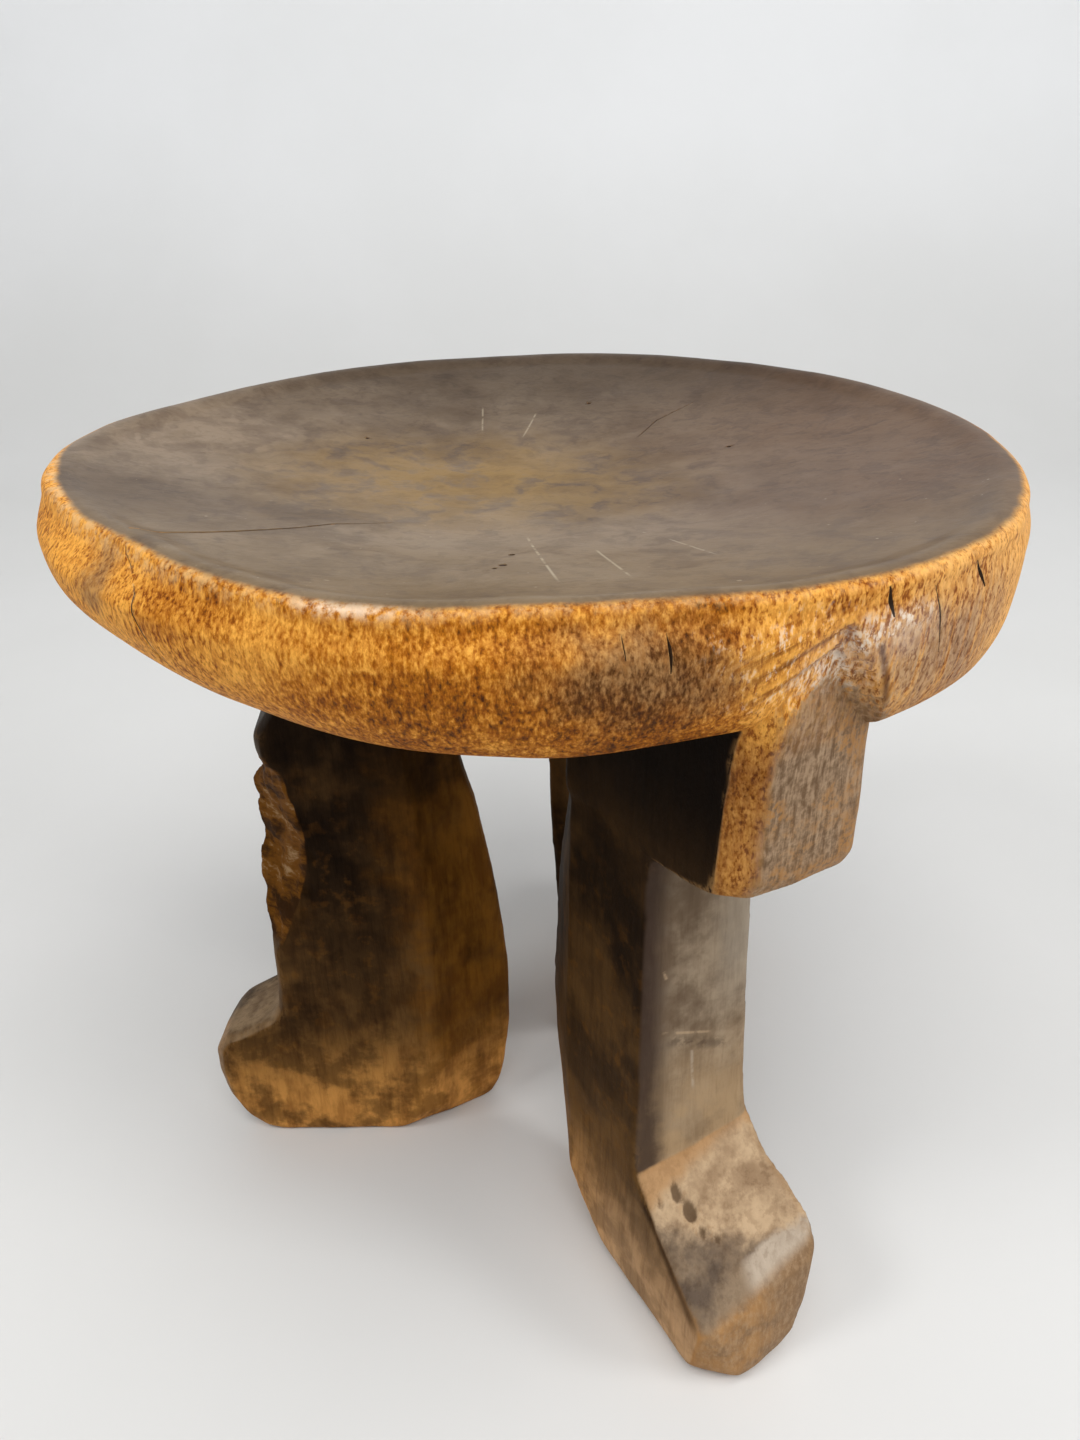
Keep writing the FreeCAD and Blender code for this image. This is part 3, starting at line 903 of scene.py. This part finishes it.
# grainy orange-brown wood of the rim and of the shoulder blocks that run up into it, with its grain
def rimWood(graph, place):
    look = seatColours
    axes = graph.split(place)
    back = axes.output("Y")
    level = axes.output("Z")
    fibre = graph.vector("MULTIPLY", place, (1.0, 1.0, 0.5))
    grit = graph.noise(fibre, 1050.0, 2.0, 0.6, 31.0)
    crumb = graph.noise(fibre, 520.0, 4.0, 0.7, 32.0)
    hairs = graph.fibres(place, 0.45, 640.0, 3.0, 0.7, 37.0)
    zone = graph.noise(place, 30.0, 4.0, 0.6, 33.0)
    streak = graph.fibres(place, 0.09, 330.0, 4.0, 0.65, 34.0)
    loose = graph.loosened(place, 30.0, 70.0, 4.0, 0.65, 35.0)
    # lighter and softer to the left, lighter to the right, deeper in front
    left = axes.between(-0.02, -0.12)
    right = axes.between(0.04, 0.06) * 0.13 + axes.between(0.11, 0.14) * 0.2
    light = left * 0.13 + axes.between(-0.12, -0.15) * 0.03 + right * back.between(0.03, -0.06)
    light = light + graph.spot(place, (56, -141, 284), (20, 20, 19), 0.8) * 0.14
    tone = (grit + crumb - 1.0) * (0.52 - left * 0.12) + zone * 0.6 + 0.2 + light
    colour = graph.mix(tone.between(0.31, 0.54), look["rimDark"], look["rimOrange"])
    pale = graph.mix(axes.between(0.04, 0.12), look["rimPale"], look["rimTan"])
    colour = colour.lay(tone.between(0.46, 0.70), pale)
    grey = graph.spot(loose, (98, -114, 274), (46, 44, 26), 0.8) * streak.between(0.36, 0.52)
    colour = colour.lay(grey * 0.8, look["rimGrey"])
    burnt = graph.spot(loose, (25, -150, 282), (36, 30, 21), 0.8)
    burnt = burnt.larger(graph.spot(loose, (-113, -104, 292), (12, 14, 17), 0.9) * 0.9)
    pores = (grit * 0.5 + crumb * 0.5).between(0.49, 0.41) * light.between(0.03, 0.1)
    colour = colour.tint(pores * 0.7, (0.46, 0.28, 0.15))
    burntColour = graph.mix(tone.between(0.40, 0.64), look["rimBurntDark"], look["rimBurnt"])
    colour = colour.lay(burnt * 0.85, burntColour)
    streaks = streak.between(0.46, 0.34) * (0.2 + axes.between(0.03, 0.08) * axes.between(0.14, 0.10) * 0.4)
    colour = colour.tint(streaks, (0.42, 0.32, 0.26))
    colour = colour.tint(hairs.between(0.60, 0.38) * 0.75, (0.64, 0.50, 0.34))
    # block wood runs up into a pointed arch under the gable, with painted highlights at its top
    across, below = underGable(graph, place, *seat["scoops"][0])
    inFront = back.between(-0.05, -0.08)
    form = look["arch"]
    fall = abs(across - form["peakSide"]) * form["slope"]
    arch = form["peak"] - fall - level / mm + (crumb - 0.5) * form["ragged"]
    arch = arch.between(0.0, form["soft"]) * across.between(*form["left"]) * across.between(*form["right"])
    arch = arch * inFront
    colour = colour.lay(arch * 0.85, blockFace(graph, place))
    # grain flows up along the gable's ridges; their dark undersides are painted shade
    flat = graph.join(across * mm, level)
    flow = graph.join(across * 0.09 + below * 0.03, below)
    flow = graph.noise(flow, 0.42, 4.0, 0.65, 36.0)
    nearGable = graph.spot(loose, (60, -138, 281), (26, 24, 20), 0.7) * (1.0 - arch)
    colour = colour.tint(flow.between(0.48, 0.36) * nearGable * 0.75, (0.32, 0.22, 0.15))
    colour = colour.lay(flow.between(0.54, 0.66) * nearGable * 0.6, look["lipTan"])
    colour = colour.tint(hairs.between(0.56, 0.42) * nearGable * 0.45, (0.55, 0.40, 0.28))
    # painted highlights: pale glints on the fibres near the gable
    colour = colour.lay(hairs.between(0.54, 0.66) * nearGable * 0.7, look["rimPaintedGlint"])
    # painted shade just under each of the gable's two ridges, a painted highlight just above it
    ridged = across.between(-36, -22) * across.between(2, -4) * inFront
    for step in (0.0, seat["scoop"]["step"]):
        under = below.between(step - 0.3, step + 0.8) * below.between(step + 3.2, step + 1.4) * ridged
        paintedRidgeHighlight = below.between(step - 3.0, step - 1.0) * below.between(step + 0.2, step - 0.5) * ridged
        colour = colour.tint(under * crumb.between(0.34, 0.56) * 0.75, (0.34, 0.24, 0.17))
        colour = colour.lay(paintedRidgeHighlight * crumb.between(0.36, 0.56) * 0.6, look["rimPale"])
    # painted shade along the crease at the block's right side
    paintedCreaseShade = scratchMask(graph, flat, (3.5, 283), (12, 262), 1.8, inFront)
    colour = colour.tint(paintedCreaseShade * 0.85, (0.20, 0.13, 0.09))
    # painted highlights: pale glints at the top of the gable arch
    paintedGlints = graph.spot(loose, (68, -128, 275), (16, 16, 10), 0.9)
    paintedGlints = paintedGlints + graph.spot(loose, (81, -129, 286), (16, 14, 9), 0.9)
    colour = colour.lay(paintedGlints * crumb.between(0.46, 0.58), look["rimPaintedGlint"])
    return colour, tone + streak * 0.3


def seatFinish():
    look = seatColours
    material, graph = startMaterial("seatPatina")
    place = graph.node("ShaderNodeTexCoord", {}, {}, "Object")
    axes = graph.split(place)
    back = axes.output("Y")
    past = graph.attribute("pastLip")
    cut = graph.attribute("cut")
    clouds = graph.noise(place, 15.0, 5.0, 0.6, 1.0)
    blotch = graph.noise(place, 48.0, 5.0, 0.62, 2.0)
    loose = graph.loosened(place, 50.0, 32.0, 4.0, 0.6, 4.0)
    swirl = graph.noise(loose, 70.0, 4.0, 0.6, 5.0)
    hair = graph.noise(graph.vector("MULTIPLY", loose, (0.35, 1.0, 1.0)), 260.0, 4.0, 0.65, 6.0)
    fine = graph.noise(place, 520.0, 4.0, 0.65, 3.0)

    # dish: grey-brown hand polish, redder to the right, darker to the back, with an olive worn patch
    top = graph.mix(clouds.between(0.40, 0.68), look["topGrey"], look["topDark"])
    top = top.lay(axes.between(-0.01, 0.11) * 0.75, look["topRed"])
    top = top.lay(back.between(-0.02, -0.12) * 0.6, look["topFront"])
    top = top.lay(back.between(0.03, 0.15) * 0.8, look["topBack"])
    patch = graph.spot(loose, (-24, 10, 282), (100, 78, 70), 0.9)
    top = top.lay(patch * swirl.between(0.28, 0.55) * 0.95, look["topOlive"])
    top = top.tint(swirl.between(0.52, 0.36) * 0.6, (0.60, 0.54, 0.50))
    top = top.tint(hair.between(0.5, 0.38) * 0.35, (0.6, 0.56, 0.52))
    top = top.tint(blotch.between(0.54, 0.40) * 0.4, (0.62, 0.56, 0.48))
    breakUp = graph.noise(place, 260.0, 2.0, 0.5, 9.0).between(0.34, 0.5)
    flat = graph.vector("MULTIPLY", place, (1, 1, 0))
    for start, end, strength in look["scratches"]:
        scratched = scratchMask(graph, flat, start, end, look["scratchWidth"], breakUp)
        top = top.lay(scratched * strength, look["scratch"])
    specks = graph.noise(place, 420.0, 2.0, 0.5, 10.0).between(0.70, 0.78) * back.between(0.02, -0.06)
    top = top.lay(specks * 0.55, look["scratch"])

    # rim below a lip that hands have worn to a bright line
    rim, grain = rimWood(graph, place)
    edge = past + (graph.noise(place, 110.0, 4.0, 0.65, 7.0) - 0.5) * 2.6
    wide = axes.between(0.02, -0.1) * back.between(0.09, -0.04)
    edge = edge + axes.between(-0.115, -0.15) * back.between(0.005, -0.04) * 3.5
    rubbed = graph.noise(place, 260.0, 4.0, 0.7, 8.0).between(0.42, 0.60)
    lip = edge.between(1.8 + wide * 3.2, -1.0) * rubbed * (0.5 + wide * 0.5)
    rim = rim.lay(lip * 0.8, look["lipTan"])
    # painted highlight: a glint along the front lip
    paintedLipGlint = graph.spot(place, (-38, -144, 298), (23, 10, 3), 0.8) * rubbed
    rim = rim.lay(paintedLipGlint * 0.5, look["rimPaintedGlint"])
    rim = rim.tint(past.between(30.0, 40.0) * 0.5, (0.55, 0.48, 0.42))
    wall = edge.between(-3.8, -0.8)
    under = past.between(40.0, 52.0)

    colour = graph.mix(wall, top, rim)
    colour = colour.lay(under, look["underside"])
    colour = colour.lay(cut, look["crackDark"])
    topRough = 0.34 + clouds * 0.16 + swirl * 0.14
    rimRough = 0.50 + grain * 0.12 - lip * 0.16
    roughness = topRough * (1.0 - wall) + rimRough * wall + under * 0.15
    height = (fine * 0.3 + hair * 0.3) * (1.0 - wall) + grain * wall * 1.5 + blotch * 0.4
    gable = graph.spot(place, (76, -132, 282), (22, 22, 12), 0.7)
    gable = gable + graph.spot(place, (88, -126, 284), (16, 14, 9), 0.7)
    polish = (1.0 - wall) * (0.22 - back.between(-0.05, 0.13) * 0.16)
    polish = gable * grain.between(0.55, 0.7) * 0.8 + lip * wall * 0.3 + polish
    endMaterial(graph, colour, roughness, height, bumpDepth=0.4, gloss=0.1, polish=polish)
    return material


def legFinish():
    look = legColours
    material, graph = startMaterial("legWood")
    place = graph.node("ShaderNodeTexCoord", {}, {}, "Object")
    legAxes = graph.split(graph.attribute("legPlace", "Vector"))
    facing = graph.split(graph.attribute("legFacing", "Vector"))
    axes = graph.split(place)
    back = axes.output("Y")
    onRight = axes.between(-0.01, 0.02)
    onLeft = axes.between(-0.05, -0.08)
    side = legAxes.output("Y")
    level = legAxes.output("Z")
    wear = graph.attribute("wear")
    raw = graph.attribute("raw")
    pit = graph.attribute("pit")
    clouds = graph.noise(place, 22.0, 5.0, 0.6, 12.0)
    blotch = graph.noise(place, 65.0, 5.0, 0.62, 13.0)
    grain = graph.fibres(place, 0.09, 400.0, 5.0, 0.65, 14.0)
    speck = graph.fibres(place, 0.45, 620.0, 4.0, 0.7, 15.0)
    outward = facing.between(0.45, 0.8)
    chamfer = (facing.output("Y") + (blotch - 0.5) * 0.5).between(-0.2, -0.5) * facing.between(0.3, 0.5)

    # broad faces are dark, warmer towards the foot and along the drawn-in inner edge
    warm = clouds.between(0.44, 0.62) * level.between(0.25, 0.15) * 0.5 + level.between(0.15, 0.02) * 0.6
    colour = graph.mix(warm, look["dark"], look["brown"])
    colour = colour.tint(blotch.between(0.52, 0.38) * (0.6 - onRight * 0.3), (0.4, 0.36, 0.34))
    # painted shade: the broad faces darken high up under the seat
    colour = colour.tint(level.between(0.19, 0.24), (0.35, 0.33, 0.3))
    flecks = graph.noise(place, 150.0, 3.0, 0.6, 16.0).between(0.54, 0.66) * level.between(0.22, 0.12)
    colour = colour.lay(flecks * 0.2, look["orange"])
    inwards = legAxes + (blotch - 0.5) * 0.05 + (clouds - 0.5) * 0.07
    # the orange inner edge stops below the seat and only the left leg has it; elsewhere the dark colour
    # stands as painted shade
    inner = inwards.between(0.066, 0.036) * level.between(0.21, 0.15)
    inner = inner * axes.between(0.01, -0.01) * (clouds.between(0.36, 0.56) * 0.7 + 0.25)
    colour = colour.lay(inner, look["orange"])
    even = 0.35 + axes.between(0.0, 0.03) * 0.25
    low = level.between(0.065, 0.01) * (blotch.between(0.40, 0.58) * (1.0 - even) + even)
    outerFoot = axes.between(0.0, -0.03) * legAxes.between(0.070, 0.095) * level.between(0.008, 0.018)
    low = low * (1.0 - outerFoot * 0.12)
    lowColour = graph.mix(axes.between(0.0, 0.03), look["lowBrown"], look["lowGrey"])
    colour = colour.lay(low, lowColour)
    # painted shade along the foot's left top edge, on the front leg
    flank = graph.join(legAxes, level)
    shadedFlank = facing.output("Y").between(-0.4, -0.7) * blotch.between(0.34, 0.46) * back.between(-0.03, -0.05)
    paintedEdgeShade = scratchMask(graph, flank, (106, 57), (146, 27.5), 4.0, shadedFlank)
    colour = colour.tint(paintedEdgeShade * 0.85, (0.20, 0.16, 0.13))
    # grey waist with a dark left border, tan downwards, a painted grey sheen at its upper right
    soft = graph.noise(place, 42.0, 5.0, 0.65, 18.0)
    waist = graph.mix(soft.between(0.36, 0.62), look["grey"], look["waistDark"])
    waist = waist.lay(level.between(0.135, 0.085) * (0.5 + blotch.between(0.4, 0.6) * 0.4), look["tanDark"])
    paintedSheenAndGloss = (side + (soft - 0.5) * 0.02).between(0.0, 0.016) * level.between(0.12, 0.16)
    waist = waist.lay(paintedSheenAndGloss * 0.7, look["waistPaintedSheen"])
    waist = waist.lay((side + (soft - 0.5) * 0.016).between(-0.009, -0.018) * 0.9, look["border"])
    waist = waist.tint(onLeft * 0.9, (0.28, 0.24, 0.22))
    # painted shade: the left leg's outward faces darken at the top
    waist = waist.tint(onLeft * level.between(0.185, 0.2), (0.30, 0.27, 0.24))
    marked = graph.dot(place, heading(frontLeg["angle"])).between(0.095, 0.098)
    marked = marked * graph.noise(place, 240.0, 3.0, 0.6, 19.0).between(0.38, 0.56)
    flat = graph.join(side, level)
    for start, end, width, shade in look["marks"]:
        waist = waist.lay(scratchMask(graph, flat, start, end, width, marked) * 0.5, look[shade])
    colour = colour.lay(outward, waist)
    # shoulder: grey-brown face, grainy orange chamfer, running up into the rim
    rim, rimGrain = rimWood(graph, place)
    shoulder = level.between(0.195, 0.203) * legAxes.between(0.112, 0.122)
    edged = side.between(0.008, 0.02) * 0.5 + level.between(0.22, 0.203) * 0.5
    face = graph.mix(edged * speck.between(0.40, 0.58), blockFace(graph, place), look["blockOrange"])
    orange = chamfer.larger(level.between(0.250, 0.256) * outward)
    colour = colour.lay(shoulder * outward.larger(chamfer), face)
    edge = rim.tint(chamfer * level.between(0.262, 0.25) * 0.9, (0.61, 0.60, 0.85))
    colour = colour.lay(shoulder * orange * (1.0 - chamfer * 0.1), edge)
    # foot: tan top, orange along the waist, grey at its left front, a pale strip on the toe's edge
    foot = level.between(0.1, 0.08)
    sole = graph.mix(blotch.between(0.44, 0.64) * 0.6, look["tan"], look["footBrown"])
    sole = sole.lay((legAxes + (blotch - 0.5) * 0.012).between(0.113, 0.108) * 0.6, look["blockOrange"])
    frontLeft = (legAxes - side * 0.9 + (blotch - 0.5) * 0.03).between(0.131, 0.141)
    sole = sole.lay(frontLeft * (0.6 + soft.between(0.6, 0.4) * 0.35), look["footGrey"])
    strip = (legAxes - side * 0.1 + (blotch - 0.5) * 0.012).between(0.139, 0.142)
    sole = sole.lay(strip * side.between(-0.006, 0.0), look["pale"])
    sole = sole.tint(onLeft * 0.9, (0.40, 0.38, 0.34))
    raised = facing.output("Z").between(0.25, 0.5)
    colour = colour.lay(foot * raised, sole)
    toeTop = level - side * 0.64
    toe = legAxes.between(0.125, 0.138) * foot * outward * toeTop.between(0.0465, 0.0415)
    warmToe = blotch.between(0.36, 0.56) * side.between(0.02, -0.01)
    toeColour = graph.mix(warmToe, look["footBrown"], look["toeOrange"])
    toeColour = toeColour.lay(speck.between(0.40, 0.66) * 0.3, look["tan"])
    colour = colour.lay(chamfer * level.between(0.05, 0.035) * (1.0 - raised) * 0.8, look["blockOrange"])
    colour = colour.lay(toe, toeColour)
    # fibres, worn arrises, pits and the break
    colour = colour.tint(grain.between(0.54, 0.38) * (0.35 - outward * 0.15), (0.45, 0.38, 0.32))
    mottle = graph.fibres(place, 0.4, 95.0, 4.0, 0.6, 20.0)
    spotted = (1.0 - outward) * (0.65 - onRight * 0.45)
    colour = colour.tint(mottle.between(0.58, 0.38) * spotted, (0.40, 0.34, 0.30))
    ends = level.between(0.115, 0.085) * 0.35 + level.between(0.19, 0.205)
    worn = wear.between(0.6, 1.5) * speck.between(0.40, 0.54) * legAxes.between(0.095, 0.105) * ends
    colour = colour.lay(worn * 0.6, look["worn"])
    chunk = graph.noise(graph.vector("MULTIPLY", place, (0.8, 0.8, 1.8)), 58.0, 6.0, 0.68, 17.0)
    rawColour = graph.mix(chunk.between(0.42, 0.58), look["rawDark"], look["rawWood"])
    rawColour = rawColour.lay(chunk.between(0.57, 0.68) * 0.9, look["rawPale"])
    broken = raw.between(0.1, 0.6) * (facing + (mottle - 0.5) * 0.4).between(0.22, 0.4)
    colour = colour.lay(broken, rawColour)
    # painted shade darkens the pressed pits
    colour = colour.lay((pit + (speck - 0.5) * 1.6).between(0.3, 1.6) * 0.85, look["pit"])

    roughness = 0.46 + clouds * 0.16 + raw * 0.3 - worn * 0.08
    height = grain * 1.0 + speck * 0.5 + blotch * 0.4 + rimGrain * shoulder * 0.8
    gable = graph.spot(place, (74, -128, 274), (18, 18, 9), 0.7)
    polish = gable * 0.7 + paintedSheenAndGloss * outward * 0.12
    endMaterial(graph, colour, roughness, height, bumpDepth=0.4, gloss=0.03, polish=polish)
    return material


seatWood = seatFinish()
legWood = legFinish()
print("finishes ready:", seatWood.name, legWood.name)

pieces = {"seat": buildSeat(seatWood)}
for legName in legs:
    pieces[legName] = buildLeg(legName, legWood)
for nodeName, piece in pieces.items():
    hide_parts(nodeName)
    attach(piece, body)
print("pieces placed:", len(pieces))


# Studio: pale sweep of floor and wall, one large soft lamp high in front, a weaker one from each side
studio = {
    "floorColour": (0.76, 0.755, 0.74),
    "wallColour": (0.93, 0.935, 0.94),
    "wallAt": 1.5,  # metres behind the stool
    "sweep": 0.5,
    "sweepSteps": 12,
    "width": 7.0,
    "worldColour": (0.93, 0.96, 1.0),
    "worldLight": 0.24,
    "worldSeen": 0.78,  # what the camera and reflections see past the sweep
    "lamps": {
        "keyLamp": {"place": (0.2, -0.95, 2.2), "size": 1.7, "power": 38.0},
        "leftLamp": {"place": (-1.4, -0.8, 2.0), "size": 0.6, "power": 12.0},
        "rightLamp": {"place": (1.8, -0.6, 1.25), "size": 0.6, "power": 12.0},
    },
    "lampsAim": (0, 0, 0.15),
}


def buildSweep():
    material, graph = startMaterial("paleSweep")
    place = graph.node("ShaderNodeTexCoord", {}, {}, "Object")
    mottle = graph.noise(place, 3.0, 4.0, 0.55, 21.0)
    height = graph.split(place).output("Z")
    pale = graph.mix(height.between(0.0, 0.5), studio["floorColour"], studio["wallColour"])
    colour = pale.tint(mottle.between(0.3, 0.7), (0.965, 0.965, 0.96))
    grit = graph.noise(place, 300.0, 3.0, 0.5, 22.0)
    endMaterial(graph, colour, 0.55 + mottle * 0.1, grit, bumpDepth=0.05, gloss=0.3)
    bm = bmesh.new()
    wallAt, sweep, half = studio["wallAt"], studio["sweep"], studio["width"] / 2
    line = [(-half, 0.0)]
    for step in range(studio["sweepSteps"] + 1):
        turn = math.radians(90 * step / studio["sweepSteps"])
        line.append((wallAt - sweep + sweep * math.sin(turn), sweep - sweep * math.cos(turn)))
    line.append((wallAt, half))
    sides = [[bm.verts.new((x, y, z)) for y, z in line] for x in (half, -half)]
    for k in range(len(line) - 1):
        bm.faces.new((sides[0][k], sides[0][k + 1], sides[1][k + 1], sides[1][k]))
    for face in bm.faces:
        face.smooth = True
    mesh = finishMesh(bm, "paleSweep")
    mesh.materials.append(material)
    made = addObject("paleSweep", mesh)


def lightStudio():
    for name, values in studio["lamps"].items():
        lamp = bpy.data.lights.new(name, "AREA")
        lamp.size = values["size"]
        lamp.energy = values["power"]
        made = addObject(name, lamp)
        made.location = values["place"]
        ahead = Vector(studio["lampsAim"]) - Vector(values["place"])
        made.rotation_euler = ahead.to_track_quat("-Z", "Y").to_euler()
    world = bpy.data.worlds.new("softRoom")
    bpy.context.scene.world = world
    world.use_nodes = True
    world.node_tree.nodes.clear()
    graph = Graph(world.node_tree)
    rays = graph.node("ShaderNodeLightPath", {}, {}, "Is Camera Ray")
    seen = rays + rays.output("Is Glossy Ray") + rays.output("Is Transmission Ray")
    seen = seen.math("MINIMUM", seen, 1.0)
    strength = studio["worldLight"] + seen * (studio["worldSeen"] - studio["worldLight"])
    glow = graph.node("ShaderNodeBackground", {}, {"Color": studio["worldColour"], "Strength": strength})
    graph.node("ShaderNodeOutputWorld", {}, {"Surface": glow})


# Camera, as the photograph was taken: place in millimetres, angles in degrees
camera = {
    "place": (4.3, -358.8, 385.2),
    "pitch": 28.24,
    "yaw": -0.59,
    "roll": -0.89,
    "focal": 1082.0,  # in pixels of the photograph
    "imageHeight": 1440.0,
    "sensor": 36.0,
    "nearest": 10.0,
}


def addCamera():
    pitch, yaw, roll = (math.radians(camera[key]) for key in ("pitch", "yaw", "roll"))
    ahead = Vector((math.sin(yaw) * math.cos(pitch), math.cos(yaw) * math.cos(pitch), -math.sin(pitch)))
    right = Vector((math.cos(yaw), -math.sin(yaw), 0.0))
    up = right.cross(ahead)
    rightRolled = right * math.cos(roll) + up * math.sin(roll)
    upRolled = up * math.cos(roll) - right * math.sin(roll)
    data = bpy.data.cameras.new("photoCamera")
    data.sensor_fit = "VERTICAL"
    data.sensor_height = camera["sensor"]
    data.sensor_width = camera["sensor"]
    data.lens = data.sensor_height * camera["focal"] / camera["imageHeight"]
    data.clip_start = camera["nearest"] * mm
    made = addObject("photoCamera", data)
    turn = Matrix((rightRolled, upRolled, -ahead)).transposed().to_4x4()
    made.matrix_world = Matrix.Translation(Vector(camera["place"]) * mm) @ turn
    bpy.context.scene.camera = made


buildSweep()
lightStudio()
addCamera()
bpy.context.scene.view_settings.view_transform = "Standard"
